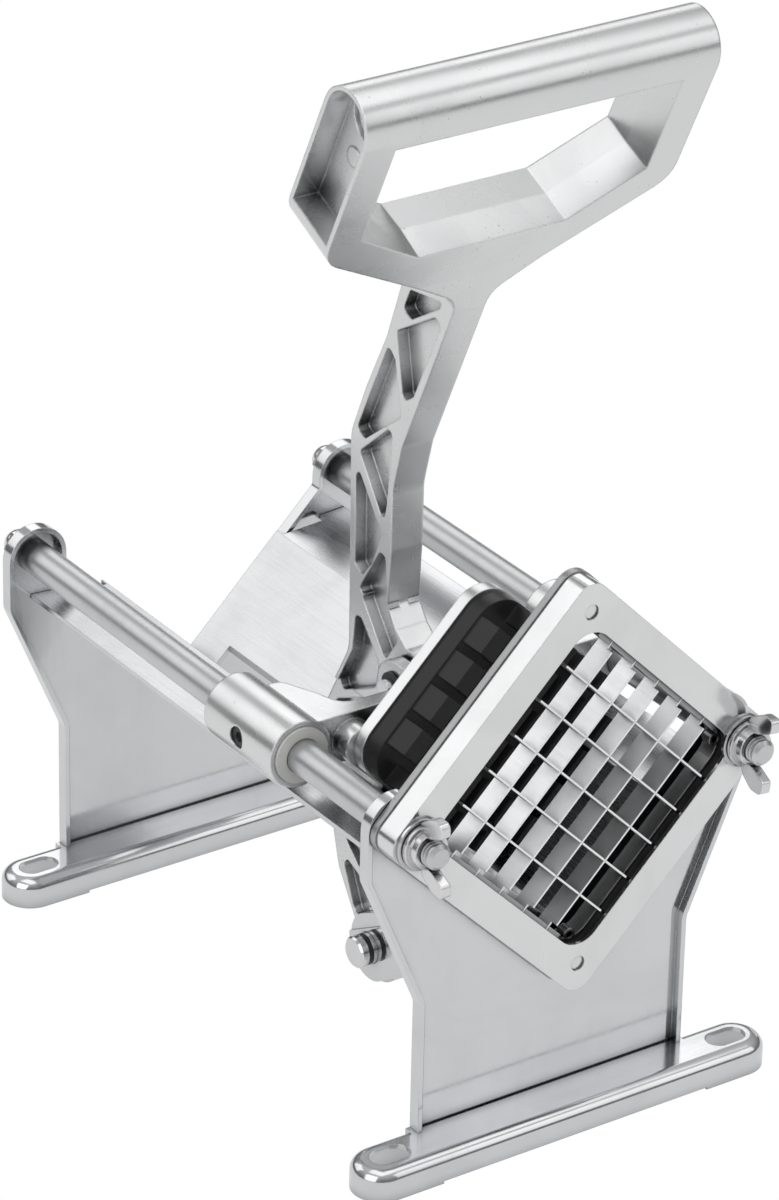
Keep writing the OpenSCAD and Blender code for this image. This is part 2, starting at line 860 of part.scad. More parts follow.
// Along the screws' axes: Z points out of the housing, 0 is the bush's pocket
module grub_places() {
    for (s = [-1, 1]) translate([s * (rail_x + bush_d / 2 - 1.6), hinge_y - 2, rail_rise])
        rotate([0, 90 * s, 0]) children();
}

module rail_bushes() {
    color("gainsboro") machine() difference() {
        at_rails() rod(bush_d, carriage_front - 1, housing_back);
        at_rails() rod(rail_d + 2 * rail_play, carriage_front - 2, housing_back + cut);
        grub_places() cylinder(d = grub_d + 0.3, h = housing_d);
    }
}

module bush_screws() {
    color("#3a3b3d") machine() grub_places() difference() {
        cylinder(d = grub_d, h = 2.3);
        translate([0, 0, 1]) cylinder(d = 3.4, h = 2, $fn = 6);
    }
}

module hinge_pin() {
    groove = lug_out + 0.1;
    color("silver") machine() difference() {
        cross_rod(hinge_pin_d, -hinge_reach, hinge_reach, hinge_y, rail_rise);
        for (s = [0, 1]) mirror([s, 0, 0])
            cross_ring(hinge_pin_d + 2, hinge_pin_d - 1.2, groove, groove + 1, hinge_y, rail_rise);
    }
}

module hinge_washers() {
    color("silver") machine() for (s = [0, 1]) mirror([s, 0, 0])
        cross_ring(hinge_washer_d, hinge_pin_d + 2 * hole_play, shank_half + side_play,
                   lug_in - 0.1, hinge_y, rail_rise);
}

module hinge_clips() {
    color("#2b2c2e") machine() for (s = [0, 1]) mirror([s, 0, 0])
        cross_ring(hinge_pin_d + 3.4, hinge_pin_d - 1, lug_out + 0.2, lug_out + 1,
                   hinge_y, rail_rise);
}

// ---------- lever ----------

// Point of the handle frame [v, u, r], brought into the Y-Z plane
function leaning(p) = [
    grip_y + p[0] * cos(grip_lean) - p[1] * sin(grip_lean),
    grip_z + p[0] * sin(grip_lean) + p[1] * cos(grip_lean),
    p[2]
];
// Points given from the hinge and from the lower pivot
function from_hinge(p) = [hinge_y + p[0], rail_rise + p[1], p[2]];
function from_pivot(p) = [pivot_y + p[0], pivot_z + p[1], p[2]];

// Shank from the side: down the front edge, round the boss and up the back
shank_outline = rounded(concat(
    [for (p = [[0, -15, 0], [-1.5, -28, 8], [-2.4, -85, 14]]) leaning(p)],
    [for (p = [
        [10.3, 58, 16], [10.4, 38, 0], [11.6, 20, 3], [7, 13.9, 2], [1.2, 9.5, 0],
        [-7, 0, 0], [-7, -8, 5], [1, -29, 14], [11.5, -47, 12], [12.5, -62, 14]
    ]) from_hinge(p)],
    [for (p = [
        [-6, 17, 12], [-11.4, 2, 6], [-8, -8, 3], [0, -11, 3], [10, -5.6, 0], [24.2, 15.5, 14]
    ]) from_pivot(p)],
    [for (p = [
        [43.6, -52, 24], [43.9, -26, 9], [31.2, -2.6, 12], [31.8, 42, 0], [32.2, 68, 14]
    ]) from_hinge(p)],
    [for (p = [[19.6, -82, 10], [19.2, -60, 0], [21.3, -38, 12], [handle_depth, -15, 0]]) leaning(p)]
));

// Pockets in the sides of the shank, one outline each
pocket_r = 1.6;
handle_pockets = [
    [[17.2, -38], [17.2, -46], [12.6, -46], [3.8, -32], [3.8, -29.6]],
    [[16.4, -54.5], [4.2, -36], [0.8, -36], [0.6, -66], [3.8, -71.6]],
    [[17.4, -61.4], [12.6, -63], [2.2, -76.6], [12.6, -97.4], [17.2, -97.2]]
];
hinge_pockets = [
    [[27.8, 63.4], [10.8, 78.4], [13.1, 52], [14.6, 45.2]],
    [[29.4, 55], [27.4, 57.2], [15.2, 41.2], [20, 30], [25.2, 23.8], [28.9, 26.4]],
    [[16.2, 35.6], [13.2, 35.2], [12.2, 21.2], [28, 17.2]],
    [[25.6, 17.9], [11.6, 21.4], [9.6, 14.4], [6, 10.6], [12.4, 1.4]],
    [[28, 10], [25, 10], [15.4, -0.8], [17, -9.6], [35.6, -19], [37, -16], [29.4, -2.4]],
    [[38.8, -23.4], [21, -15], [6, -28.5], [16.8, -46.5], [40.4, -45]],
    [[40.2, -49], [17.6, -50.5], [17, -63], [36, -63.4]],
    [[34.9, -67], [23.8, -66.6], [23.2, -76.6]],
    [[33.4, -77.4], [31.4, -75], [25.4, -77.4], [17.4, -84.6], [14.2, -87.2], [26, -91.6], [27.6, -90]]
];

function pocket(p) = [for (q = p) [q[0], q[1], 0]];

module pocket_shapes() {
    for (p = handle_pockets) polygon(inset_pocket([for (q = pocket(p)) leaning(q)]));
    for (p = hinge_pockets) polygon(inset_pocket([for (q = pocket(p)) from_hinge(q)]));
}

// Pocket outline with its corners rounded by at most pocket_r
function inset_pocket(p) = rounded([
    for (i = [0:len(p) - 1])
        let (m = len(p),
             v = flat(p[i]),
             a = flat(p[(i + m - 1) % m]) - v,
             b = flat(p[(i + 1) % m]) - v,
             half = acos(a * b / norm(a) / norm(b)) / 2,
             room = min(norm(a), norm(b)) * 0.45 * tan(half))
        [v[0], v[1], min(pocket_r, room)]
], 3);

// Handle and upper shank from the front: right half, from the bottom
handle_half_outline = [
    [shank_half, -88, 0],
    [shank_half, -23.9, 8],
    [handle_half, 6.7, 10],
    [handle_half, grip_top, 0]
];

// Hand hole: right half, from the bottom
hole_base = 24.7;
hole_low = -1.2;
hole_knee = 13;
hole_top = grip_top - 2.3;
hole_half_outline = [[hole_base, hole_low], [hole_half, hole_knee], [hole_half, hole_top]];

// Round bar at the top of the handle
module grip() {
    translate([0, grip_r, grip_top]) rotate([0, 90, 0])
        cylinder(r = grip_r, h = 2 * handle_half, center = true);
}

// Low ridge along the middle of a face of the hand hole, from a to b
module ridge(a, b) {
    crown = 0.5;
    over = 0.6;          // how far it runs on into the neighbouring faces
    d = b - a;
    translate([a[0], 0, a[1]]) rotate([0, -atan2(d[1], d[0]), 0]) plank(-over, norm(d) + over)
        polygon([[0, -crown], [handle_depth, -crown], [handle_depth, 0], [grip_r, crown], [0, 0]]);
}

module hole_ridges() {
    ridge([-hole_base, hole_low], [hole_base, hole_low]);
    for (s = [0, 1]) mirror([s, 0, 0]) {
        ridge([hole_base, hole_low], [hole_half, hole_knee]);
        ridge([hole_half, hole_knee], [hole_half, hole_top]);
    }
}

// Open ends of the handle: hollow from the side wall outward
pocket_floor = 12.5;
module end_hollows() {
    skin = 1.4;
    core_r = 8;
    core_l = 24;
    mark_d = 6;
    wall_x = hole_half + 2.3;
    for (s = [0, 1]) mirror([s, 0, 0]) {
        difference() {
            plank(wall_x, handle_half + cut) {
                translate([skin, pocket_floor])
                    square([handle_depth - 2 * skin, grip_top - pocket_floor]);
                translate([grip_r, grip_top]) circle(grip_r - skin);
            }
            cross_rod(mark_d, wall_x - cut, wall_x + 0.4, grip_r + 0.9, grip_top - 15.7);
        }
        cross_rod(2 * core_r, wall_x - core_l, wall_x + cut, grip_r, grip_top);
    }
}

// Channel below the hand hole, open downward, on both sides of the shank
module under_channel() {
    skin = 3;
    wall_t = 4.5;            // between the channel and the end pockets
    root = shank_half + 4;
    top = pocket_floor - wall_t;
    low = -grip_top;
    for (s = [0, 1]) mirror([s, 0, 0]) slab(skin, handle_depth - skin)
        polygon([
            [root, hole_low - skin], [root, low], [handle_half, low],
            [handle_half - skin - 1, top], [hole_half + 0.8, top], [hole_base, hole_low - skin]
        ]);
}

module lever() {
    clip = 36;               // the shank takes over this far below the handle's base
    wide_from = rail_rise - wide_drop;
    color("#d8d9da") machine() difference() {
        union() {
            plank(-shank_low_half, shank_low_half) polygon(shank_outline);
            plank(-shank_half, shank_half) intersection() {
                polygon(shank_outline);
                translate([0, wide_from]) square(4 * grip_rise);
            }
            intersection() {
                plank(-handle_half, handle_half) polygon(shank_outline);
                in_handle() slab(-handle_depth, 2 * handle_depth)
                    polygon(rounded(both_halves(handle_half_outline)));
            }
            in_handle() hole_ridges();
            in_handle() difference() {
                union() {
                    slab(0, handle_depth) intersection() {
                        polygon(rounded(both_halves(handle_half_outline)));
                        translate([-handle_half, -clip]) square([2 * handle_half, clip + grip_top]);
                    }
                    grip();
                }
                slab(-cut, handle_depth + cut) polygon(concat(
                    hole_half_outline, [for (p = reversed(hole_half_outline)) [-p[0], p[1]]]
                ));
                end_hollows();
                under_channel();
            }
            cross_rod(hinge_boss_d, -shank_half, shank_half, hinge_y, rail_rise);
            cross_rod(2 * boss_r, -boss_half, boss_half, pivot_y, pivot_z);
        }
        for (s = [0, 1]) mirror([s, 0, 0]) plank(web_half, shank_half + shank_margin) pocket_shapes();
        cross_rod(hinge_pin_d + 2 * run_play, -shank_half - cut, shank_half + cut, hinge_y, rail_rise);
        cross_rod(pivot_pin_d + 2 * fit_play, -boss_half - cut, boss_half + cut, pivot_y, pivot_z);
    }
}

pivot_groove = cheek_out + 1.3;
groove_w = 1.7;

module pivot_pin() {
    bevel = 0.6;
    color("silver") machine() difference() {
        union() {
            cross_rod(pivot_pin_d, bevel - pivot_reach, pivot_reach - bevel, pivot_y, pivot_z);
            for (s = [0, 1]) mirror([s, 0, 0])
                translate([pivot_reach - bevel - eps, pivot_y, pivot_z]) rotate([0, 90, 0])
                    cylinder(d1 = pivot_pin_d, d2 = pivot_pin_d - 2 * bevel, h = bevel + eps);
        }
        for (s = [0, 1]) mirror([s, 0, 0])
            cross_ring(pivot_pin_d + 2, pivot_pin_d - 2, pivot_groove, pivot_groove + groove_w,
                       pivot_y, pivot_z);
    }
}

module pivot_rings() {
    color("#1c1d1f") machine() for (s = [0, 1]) mirror([s, 0, 0])
        cross_ring(pivot_pin_d - 0.2, pivot_pin_d - 2 + 2 * fit_play, pivot_groove + 0.2,
                   pivot_groove + groove_w - 0.2, pivot_y, pivot_z);
}

// ---------- link and its bracket ----------

module cheek() {
    rear = [pivot_y, pivot_z];
    front = [anchor_y, anchor_z];
    step = 0.7;      // the bar stands out of the eye's upper part by this
    step_rise = 6;   // distance of the step from the eye's middle
    d = front - rear;
    difference() {
        plank(cheek_in, cheek_out) {
            polygon(strap(rear, rear_eye_r, front, front_eye_r));
            translate(rear) circle(rear_eye_r);
            translate(front) circle(front_eye_r);
        }
        cross_rod(pivot_pin_d + 2 * run_play, cheek_in - cut, cheek_out + cut, pivot_y, pivot_z);
        cross_rod(anchor_pin_d + 2 * fit_play, cheek_in - cut, cheek_out + cut, anchor_y, anchor_z);
        plank(cheek_out - step, cheek_out + cut) translate(rear) rotate(atan2(d[1], d[0]))
            translate([-2 * rear_eye_r, -2 * rear_eye_r])
                square([norm(d) + 4 * rear_eye_r, 2 * rear_eye_r - step_rise]);
    }
}

module left_link() {
    color("silver") machine() mirror([1, 0, 0]) cheek();
}

module right_link() {
    color("silver") machine() cheek();
}

module link_pin() {
    reach = bracket_out + 1.5;
    color("silver") machine() cross_rod(anchor_pin_d, -reach, reach, anchor_y, anchor_z);
}

module link_sleeve() {
    color("silver") machine()
        cross_ring(anchor_pin_d + 2, anchor_pin_d + 2 * fit_play, -cheek_in, cheek_in,
                   anchor_y, anchor_z);
}

module link_bracket() {
    window_y = anchor_y + 1.8;
    window_z = anchor_z + 4.4;
    window_r = 3;
    edge = 4;
    tip = window_y + anchor_window_w / 2 + edge;
    low = window_z - anchor_window_h / 2 - edge;
    high = window_z + anchor_window_h / 2 + edge;
    back = sheet_t + bracket_t;
    base_high = notch_z - 4;
    side = rounded([
        [sheet_t, low, 0], [tip, low, 5], [tip, high, 5], [back + 8, high, 5], [sheet_t, base_high, 0]
    ]);
    color("silver") machine() {
        slab(sheet_t, back) translate([-bracket_out - 4, low])
            square([2 * bracket_out + 8, base_high - low]);
        for (s = [0, 1]) mirror([s, 0, 0]) plank(bracket_in, bracket_out) difference() {
            polygon(side);
            translate([window_y, window_z]) {
                square([anchor_window_w, anchor_window_h - 2 * window_r], center = true);
                square([anchor_window_w - 2 * window_r, anchor_window_h], center = true);
                for (y = [-1, 1], z = [-1, 1])
                    translate([y * (anchor_window_w / 2 - window_r), z * (anchor_window_h / 2 - window_r)])
                        circle(window_r);
            }
        }
    }
}

front_foot();
rear_foot();
front_plate();
rear_plate();
trough();
left_rail();
right_rail();
rear_washers();
rear_cap_nuts();
knife_frame();
blade_holder();
rising_blades();
falling_blades();
knife_cover();
cover_pins();
front_washers();
link_bracket();
left_wing_nut();
right_wing_nut();
carriage();
rail_bushes();
bush_screws();
pusher_plate();
pusher_block();
pusher_screws();
hinge_pin();
hinge_washers();
hinge_clips();
lever();
pivot_pin();
pivot_rings();
left_link();
right_link();
link_pin();
link_sleeve();
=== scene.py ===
"""Bench cutter for potato strips: finishes, studio light and camera."""

import math

import bpy
from mathutils import Matrix, Vector

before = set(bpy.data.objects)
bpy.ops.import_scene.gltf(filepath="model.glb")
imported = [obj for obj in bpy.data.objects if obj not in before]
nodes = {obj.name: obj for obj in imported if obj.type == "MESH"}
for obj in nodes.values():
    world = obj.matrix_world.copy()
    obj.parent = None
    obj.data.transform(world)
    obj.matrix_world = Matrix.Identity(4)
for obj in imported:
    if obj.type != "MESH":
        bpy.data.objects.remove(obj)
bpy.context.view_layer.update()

MM = 0.001
WHITE = (1.0, 1.0, 1.0, 1.0)


def grey(level):
    return (level, level, level, 1.0)


# ---------- node helpers ----------

def fill(tree, node, inputs):
    """Gives a node's sockets, by name or number, a value or the output of another node."""
    for key, value in inputs.items():
        socket = node.inputs[key]
        if isinstance(value, bpy.types.NodeSocket):
            tree.links.new(value, socket)
        else:
            socket.default_value = value


def put(tree, kind, inputs=None, **settings):
    """Adds a node with its settings, then fills its sockets."""
    made = tree.nodes.new(kind)
    for key, value in settings.items():
        setattr(made, key, value)
    fill(tree, made, inputs or {})
    return made


def calc(tree, operation, a, b):
    """A math node's result."""
    return put(tree, "ShaderNodeMath", {0: a, 1: b}, operation=operation).outputs[0]


def times(tree, a, b):
    return calc(tree, "MULTIPLY", a, b)


def plus(tree, base, mask, amount):
    """base, raised by amount where mask is 1."""
    return calc(tree, "ADD", base, times(tree, mask, amount))


def spread(tree, value, low, high, out_low=0.0, out_high=1.0):
    """value taken from low..high to out_low..out_high with soft ends."""
    return put(tree, "ShaderNodeMapRange", {
        "Value": value, "From Min": low, "From Max": high, "To Min": out_low, "To Max": out_high,
    }, interpolation_type="SMOOTHSTEP").outputs[0]


def fading(tree, value, full, gone):
    """Mask that is 1 up to full and 0 from gone on."""
    return spread(tree, value, full, gone, 1.0, 0.0)


def stretched(tree, vector, scale):
    """vector multiplied along each axis."""
    return put(tree, "ShaderNodeVectorMath", {0: vector, 1: scale}, operation="MULTIPLY").outputs[0]


def noise(tree, vector, scale, detail=2.0, rough=0.5, warp=0.0):
    """Cloudy noise from 0 to 1."""
    return put(tree, "ShaderNodeTexNoise", {
        "Vector": vector, "Scale": scale, "Detail": detail, "Roughness": rough, "Distortion": warp,
    }).outputs["Fac"]


# A mix node has sockets for each kind of value; these are the ones for colours
MIX_FACTOR, MIX_FIRST, MIX_SECOND = 0, 6, 7
MIXED_COLOUR = 2


def blend(tree, factor, first, second):
    """Colour between first and second."""
    return put(tree, "ShaderNodeMix", {MIX_FACTOR: factor, MIX_FIRST: first, MIX_SECOND: second},
               data_type="RGBA").outputs[MIXED_COLOUR]


def bumped(tree, strength, relief, height, normal):
    """Normal of a face whose relief is given in millimetres."""
    return put(tree, "ShaderNodeBump", {
        "Strength": strength, "Distance": relief * MM, "Height": height, "Normal": normal,
    }).outputs[0]


def new_group(name, inputs, outputs):
    """An empty node group, the values given to it and its output node."""
    tree = bpy.data.node_groups.new(name, "ShaderNodeTree")
    for label, kind, value in inputs:
        socket = tree.interface.new_socket(label, in_out="INPUT", socket_type="NodeSocket" + kind)
        if value is not None:
            socket.default_value = value
    for label, kind in outputs:
        tree.interface.new_socket(label, in_out="OUTPUT", socket_type="NodeSocket" + kind)
    return tree, tree.nodes.new("NodeGroupInput").outputs, tree.nodes.new("NodeGroupOutput")


def use(tree, group, inputs):
    """Places a shared effect in a material and gives what it puts out."""
    return put(tree, "ShaderNodeGroup", inputs, node_tree=group).outputs


def bare_tree(owner):
    """The emptied node tree of a material or world."""
    owner.use_nodes = True
    owner.node_tree.nodes.clear()
    return owner.node_tree


# ---------- shared effects ----------

# How a pattern is stretched: small along the streaks, large across them
ALONG_X = (0.02, 1.0, 1.0)
ALONG_Y = (1.0, 0.02, 1.0)
ALONG_Z = (1.0, 1.0, 0.02)
RAIL_RINGS = (1.0, 40.0, 1.0)
FITTING_RINGS = (1.0, 20.0, 1.0)

# Repeats per metre
STREAK_SCALE = 2500.0
RING_SCALE = 160.0
SKIN_SCALE = 260.0
GRAIN_SCALE = 3200.0


def make_brushing():
    """Fine parallel streaks over wider ones."""
    tree, given, result = new_group("Fine brushing", [
        ("Vector", "Vector", None),
        ("Stretch", "Vector", ALONG_Z),
        ("Scale", "Float", STREAK_SCALE),
    ], [("Streaks", "Float")])
    wide_scale, fine_share, wide_share = 0.13, 0.7, 0.3
    laid = stretched(tree, given["Vector"], given["Stretch"])
    fine = noise(tree, laid, given["Scale"], detail=3.0, rough=0.6)
    wide = noise(tree, laid, times(tree, given["Scale"], wide_scale))
    fill(tree, result, {"Streaks": plus(tree, times(tree, fine, fine_share), wide, wide_share)})
    return tree


def make_handling():
    """Faint cloudy marks from wiping and handling, and a few hairline scratches."""
    tree, given, result = new_group("Handling marks", [
        ("Vector", "Vector", None),
    ], [("Clouds", "Float"), ("Scratches", "Float")])
    where = given["Vector"]
    cloud_scale, bend_scale, hair_scale, patch_scale = 26.0, 9.0, 46.0, 60.0
    hair_width = 0.004
    bend_shift = (0.03, 0.03, 0.03)
    hair_stretch = (1.0, 0.25, 0.6)

    clouds = noise(tree, where, cloud_scale, detail=5.0, rough=0.62, warp=0.6)
    bend = put(tree, "ShaderNodeTexNoise", {"Vector": where, "Scale": bend_scale, "Detail": 1.0})
    bent = put(tree, "ShaderNodeVectorMath", {0: where, 1: bend.outputs["Color"], 2: bend_shift},
               operation="MULTIPLY_ADD").outputs[0]
    hair = put(tree, "ShaderNodeTexVoronoi", {
        "Vector": stretched(tree, bent, hair_stretch), "Scale": hair_scale,
    }, feature="DISTANCE_TO_EDGE").outputs["Distance"]
    patches = spread(tree, noise(tree, where, patch_scale), 0.56, 0.66)
    fill(tree, result, {
        "Clouds": spread(tree, clouds, 0.36, 0.72),
        "Scratches": times(tree, fading(tree, hair, 0.0, hair_width), patches),
    })
    return tree


def make_skin():
    """Slight unevenness of a casting's polished skin, with small pits."""
    tree, given, result = new_group("Cast skin", [
        ("Vector", "Vector", None),
        ("Scale", "Float", SKIN_SCALE),
    ], [("Height", "Float"), ("Pits", "Float")])
    where, scale = given["Vector"], given["Scale"]
    swell_scale, grain_scale, pit_scale, patch_scale = 0.22, 5.0, 1.6, 90.0
    swell_share, grain_share, pit_depth = 0.8, 0.2, 0.25

    swell = noise(tree, where, times(tree, scale, swell_scale))
    grain = noise(tree, where, times(tree, scale, grain_scale), detail=4.0, rough=0.62)
    cells = put(tree, "ShaderNodeTexVoronoi", {
        "Vector": where, "Scale": times(tree, scale, pit_scale),
    }).outputs["Distance"]
    patches = spread(tree, noise(tree, where, patch_scale), 0.52, 0.64)
    pits = times(tree, fading(tree, cells, 0.05, 0.16), patches)
    height = plus(tree, times(tree, swell, swell_share), grain, grain_share)
    fill(tree, result, {
        "Height": calc(tree, "SUBTRACT", height, times(tree, pits, pit_depth)),
        "Pits": pits,
    })
    return tree


def make_edge():
    """Softened edges, and a mask that is 1 on them."""
    tree, given, result = new_group("Softened edges", [
        ("Radius", "Float", 0.4 * MM),
    ], [("Normal", "Vector"), ("Edge", "Float")])
    soft = put(tree, "ShaderNodeBevel", {"Radius": given["Radius"]}, samples=4).outputs[0]
    plain = put(tree, "ShaderNodeNewGeometry").outputs["Normal"]
    likeness = put(tree, "ShaderNodeVectorMath", {0: soft, 1: plain},
                   operation="DOT_PRODUCT").outputs["Value"]
    fill(tree, result, {"Normal": soft, "Edge": fading(tree, likeness, 0.8, 0.995)})
    return tree


def make_shade():
    """Mask that falls from 1 on open faces to 0 deep in gaps, bores and pockets."""
    tree, given, result = new_group("Cavity shade", [
        ("Reach", "Float", 7.0 * MM),
    ], [("Open", "Float")])
    seen = put(tree, "ShaderNodeAmbientOcclusion", {"Distance": given["Reach"]},
               samples=6).outputs["AO"]
    fill(tree, result, {"Open": spread(tree, seen, 0.05, 0.8)})
    return tree


BRUSHING = make_brushing()
HANDLING = make_handling()
SKIN = make_skin()
EDGE = make_edge()
SHADE = make_shade()


# ---------- finishes ----------

# Dark colour of the painted shade in gaps, bores and pockets
PAINTED_SHADE_COLOUR = (0.06, 0.06, 0.065, 1.0)
# Bright colour of the painted highlights on edges
EDGE_HIGHLIGHT_COLOUR = (0.92, 0.92, 0.93, 1.0)
SHEET_STEEL = (0.66, 0.67, 0.68, 1.0)


def start(name):
    """A new material with its tree, object coordinates and the principled shader."""
    made = bpy.data.materials.new(name)
    tree = bare_tree(made)
    where = put(tree, "ShaderNodeTexCoord").outputs["Object"]
    shader = put(tree, "ShaderNodeBsdfPrincipled")
    put(tree, "ShaderNodeOutputMaterial", {"Surface": shader.outputs[0]})
    return made, tree, where, shader


def uneven(tree, colour, amount, factor):
    """colour, a little darker where factor is high."""
    dark = tuple(c * (1.0 - amount) for c in colour[:3]) + (1.0,)
    return blend(tree, factor, colour, dark)


def with_painted_shade(tree, colour, reach=7.0):
    """colour with painted shade: darkened where shade falls in gaps and pockets up to reach
    millimetres wide.
    """
    seen = use(tree, SHADE, {"Reach": reach * MM})["Open"]
    return blend(tree, seen, PAINTED_SHADE_COLOUR, colour)


def brushed(name, colour, roughness, stretch, bump=0.04, edge=0.35, scale=STREAK_SCALE):
    """Sheet or bar steel with fine parallel streaks."""
    made, tree, where, shader = start(name)
    streaks = use(tree, BRUSHING, {"Vector": where, "Stretch": stretch, "Scale": scale})["Streaks"]
    marks = use(tree, HANDLING, {"Vector": where})
    soft = use(tree, EDGE, {"Radius": edge * MM})
    clouded = uneven(tree, colour, 0.1, times(tree, marks["Clouds"], 0.6))
    streaked = spread(tree, streaks, 0.3, 0.7, roughness - 0.04, roughness + 0.05)
    wiped = plus(tree, streaked, marks["Clouds"], 0.05)
    fill(tree, shader, {
        "Base Color": with_painted_shade(tree, clouded),
        "Metallic": 1.0,
        "Roughness": plus(tree, wiped, marks["Scratches"], 0.12),
        "Normal": bumped(tree, bump, 0.1, streaks, soft["Normal"]),
    })
    return made


def cast(name, colour, roughness, bump=0.12, edge=0.8):
    """Polished aluminium casting, brighter on its edges by a painted highlight."""
    made, tree, where, shader = start(name)
    skin = use(tree, SKIN, {"Vector": where, "Scale": SKIN_SCALE})
    marks = use(tree, HANDLING, {"Vector": where})
    soft = use(tree, EDGE, {"Radius": edge * MM})
    pitted = uneven(tree, colour, 0.3, times(tree, skin["Pits"], 0.8))
    # Painted highlight: colour lightened along the softened edges
    edge_highlight = times(tree, soft["Edge"], 0.3)
    wiped = plus(tree, roughness, marks["Clouds"], 0.08)
    fill(tree, shader, {
        "Base Color": blend(tree, edge_highlight, with_painted_shade(tree, pitted, reach=9.0), EDGE_HIGHLIGHT_COLOUR),
        "Metallic": 1.0,
        "Roughness": plus(tree, wiped, skin["Pits"], 0.2),
        "Normal": bumped(tree, bump, 0.4, skin["Height"], soft["Normal"]),
    })
    return made


def plastic(name, colour, roughness, edge=0.5):
    """Moulded plastic with a fine grain."""
    made, tree, where, shader = start(name)
    grain = noise(tree, where, GRAIN_SCALE, detail=3.0, rough=0.6)
    marks = use(tree, HANDLING, {"Vector": where})
    soft = use(tree, EDGE, {"Radius": edge * MM})
    lighter = tuple(min(1.0, c * 1.5 + 0.01) for c in colour[:3]) + (1.0,)
    rubbed = blend(tree, times(tree, marks["Clouds"], 0.5), colour, lighter)
    fill(tree, shader, {
        "Base Color": with_painted_shade(tree, rubbed),
        "Roughness": plus(tree, roughness, marks["Clouds"], 0.08),
        "Specular IOR Level": 0.35,
        "Normal": bumped(tree, 0.12, 0.05, grain, soft["Normal"]),
    })
    return made


# Each finish and the pieces that have it
FINISHES = [
    (brushed("Bright stainless sheet", SHEET_STEEL, 0.11, ALONG_Z, bump=0.015),
     ["front_plate", "rear_plate", "link_bracket", "left_link", "right_link"]),
    (brushed("Foot stainless sheet", SHEET_STEEL, 0.13, ALONG_X, bump=0.02),
     ["front_foot", "rear_foot"]),
    (brushed("Trough stainless sheet", SHEET_STEEL, 0.24, ALONG_Y, bump=0.02), ["trough"]),
    (brushed("Ground rail steel", (0.60, 0.61, 0.62, 1.0), 0.34, RAIL_RINGS, scale=RING_SCALE),
     ["left_rail", "right_rail"]),
    (brushed("Polished cover sheet", (0.74, 0.745, 0.75, 1.0), 0.16, ALONG_Z, bump=0.02),
     ["knife_cover"]),
    (brushed("Ground blade steel", (0.90, 0.91, 0.92, 1.0), 0.36, ALONG_Y, edge=0.12),
     ["rising_blades", "falling_blades"]),
    (brushed("Bright turned steel", (0.72, 0.72, 0.73, 1.0), 0.14, FITTING_RINGS,
             scale=RING_SCALE, edge=0.25),
     ["rear_washers", "rear_cap_nuts", "cover_pins", "front_washers", "pusher_screws",
      "hinge_pin", "hinge_washers", "pivot_pin", "link_pin", "link_sleeve"]),
    (cast("Plated wing nut", (0.70, 0.70, 0.71, 1.0), 0.16, bump=0.10, edge=0.6),
     ["left_wing_nut", "right_wing_nut"]),
    (cast("Polished lever casting", (0.70, 0.705, 0.71, 1.0), 0.24), ["lever"]),
    (cast("Polished carriage casting", (0.72, 0.725, 0.73, 1.0), 0.24), ["carriage"]),
    (cast("Pusher plate casting", (0.78, 0.785, 0.79, 1.0), 0.28, edge=0.5), ["pusher_plate"]),
    (cast("Grey knife frame casting", (0.42, 0.425, 0.43, 1.0), 0.34, edge=0.4), ["knife_frame"]),
    (plastic("Black pusher plastic", (0.012, 0.012, 0.013, 1.0), 0.36), ["pusher_block"]),
    (plastic("Black holder plastic", (0.010, 0.010, 0.011, 1.0), 0.34), ["blade_holder"]),
    (plastic("Pale bush plastic", (0.62, 0.62, 0.60, 1.0), 0.42), ["rail_bushes"]),
    (plastic("Blackened steel", (0.018, 0.018, 0.020, 1.0), 0.30, edge=0.2),
     ["bush_screws", "hinge_clips", "pivot_rings"]),
]

for finish, names in FINISHES:
    for name in names:
        piece = nodes[name]
        piece.data.materials.clear()
        piece.data.materials.append(finish)


# ---------- studio ----------

def add_object(name, data):
    """A new object in the scene that shows data."""
    made = bpy.data.objects.new(name, data)
    bpy.context.scene.collection.objects.link(made)
    return made


def make_floor():
    """Pale floor that the camera sees as plain white and that shines softly in reflections."""
    half = 3.0
    mesh = bpy.data.meshes.new("Floor")
    mesh.from_pydata([(-half, -half, 0), (half, -half, 0), (half, half, 0), (-half, half, 0)],
                     [], [(0, 1, 2, 3)])
    floor = add_object("Floor", mesh)

    made = bpy.data.materials.new("Pale floor")
    tree = bare_tree(made)
    pale = put(tree, "ShaderNodeBsdfDiffuse", {"Color": grey(0.70)})
    white = put(tree, "ShaderNodeEmission", {"Color": WHITE, "Strength": 1.0})
    ray = put(tree, "ShaderNodeLightPath").outputs
    glow = times(tree, ray["Is Glossy Ray"], 0.68)
    shown = calc(tree, "MAXIMUM", ray["Is Camera Ray"], glow)
    mixed = put(tree, "ShaderNodeMixShader", {0: shown, 1: pale.outputs[0], 2: white.outputs[0]})
    put(tree, "ShaderNodeOutputMaterial", {"Surface": mixed.outputs[0]})
    floor.data.materials.append(made)


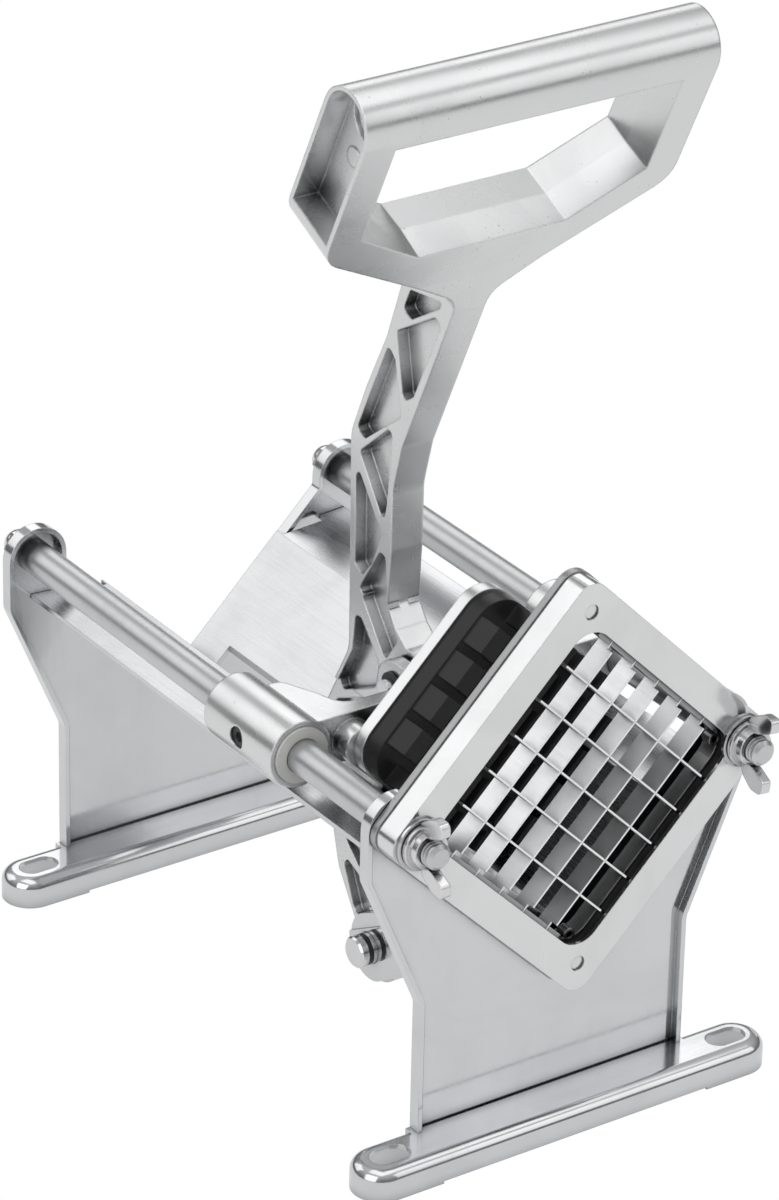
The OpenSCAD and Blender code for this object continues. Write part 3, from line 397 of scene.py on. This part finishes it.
def make_world():
    """White for the camera; for light and reflections a soft grey room, brighter above."""
    world = bpy.data.worlds.new("Studio")
    bpy.context.scene.world = world
    tree = bare_tree(world)
    toward = put(tree, "ShaderNodeTexCoord").outputs["Generated"]
    height = put(tree, "ShaderNodeSeparateXYZ", {0: toward}).outputs["Z"]
    room = put(tree, "ShaderNodeValToRGB", {0: spread(tree, height, -0.1, 1.0)})
    tones = room.color_ramp.elements
    walls = 0.35
    tones[0].position, tones[0].color = 0.0, grey(0.16)
    tones[1].position, tones[1].color = 1.0, grey(0.70)
    tones.new(walls).color = grey(0.32)
    soft = put(tree, "ShaderNodeBackground", {"Color": room.outputs[0], "Strength": 0.9})
    white = put(tree, "ShaderNodeBackground", {"Color": WHITE, "Strength": 1.0})
    seen = put(tree, "ShaderNodeLightPath").outputs["Is Camera Ray"]
    mixed = put(tree, "ShaderNodeMixShader", {0: seen, 1: soft.outputs[0], 2: white.outputs[0]})
    put(tree, "ShaderNodeOutputWorld", {"Surface": mixed.outputs[0]})


def softbox(name, place, width, height, power):
    """Rectangular lamp at place, turned to the middle of the cutter."""
    lamp = bpy.data.lights.new(name, "AREA")
    lamp.shape = "RECTANGLE"
    lamp.size = width
    lamp.size_y = height
    lamp.energy = power
    made = add_object(name, lamp)
    middle = Vector((0.0, 0.0, 0.13))
    made.location = place
    made.rotation_euler = (middle - Vector(place)).to_track_quat("-Z", "Y").to_euler()


make_floor()
make_world()

# Name, place, width, height and power
SOFTBOXES = [
    ("Top softbox", (0.05, -0.2, 1.6), 1.8, 1.4, 6.5),
    ("Left softbox", (-1.6, -0.6, 0.8), 1.3, 1.4, 9.5),
    ("Left back softbox", (-0.75, 1.2, 0.95), 1.0, 1.0, 2.8),
    ("Right back softbox", (0.68, 1.2, 0.95), 0.8, 0.7, 1.9),
    ("Right softbox", (1.5, 0.8, 0.35), 0.6, 0.35, 0.5),
    ("Right front softbox", (0.95, -1.15, 0.85), 0.9, 0.9, 2.2),
]
for box in SOFTBOXES:
    softbox(*box)


# ---------- camera ----------

def make_camera():
    """Long lens from the left front, rolled slightly."""
    place = Vector((-0.829, -1.205, 0.8815))
    azimuth, elevation, roll = (math.radians(a) for a in (-34.63, 27.29, 1.27))

    data = bpy.data.cameras.new("Camera")
    data.sensor_fit = "VERTICAL"
    data.sensor_height = 36.0
    data.lens = 167.8
    data.shift_x = 0.0012
    data.shift_y = 0.0033
    data.clip_start = 0.05
    data.clip_end = 20.0

    back = Vector((math.sin(azimuth) * math.cos(elevation),
                   -math.cos(azimuth) * math.cos(elevation),
                   math.sin(elevation)))
    right = Vector((math.cos(azimuth), math.sin(azimuth), 0.0))
    up = back.cross(right)
    x_axis = right * math.cos(roll) + up * math.sin(roll)
    y_axis = up * math.cos(roll) - right * math.sin(roll)
    turn = Matrix((x_axis, y_axis, back)).transposed().to_4x4()
    made = add_object("Camera", data)
    made.matrix_world = Matrix.Translation(place) @ turn
    bpy.context.scene.camera = made


make_camera()
bpy.context.scene.view_settings.view_transform = "Standard"
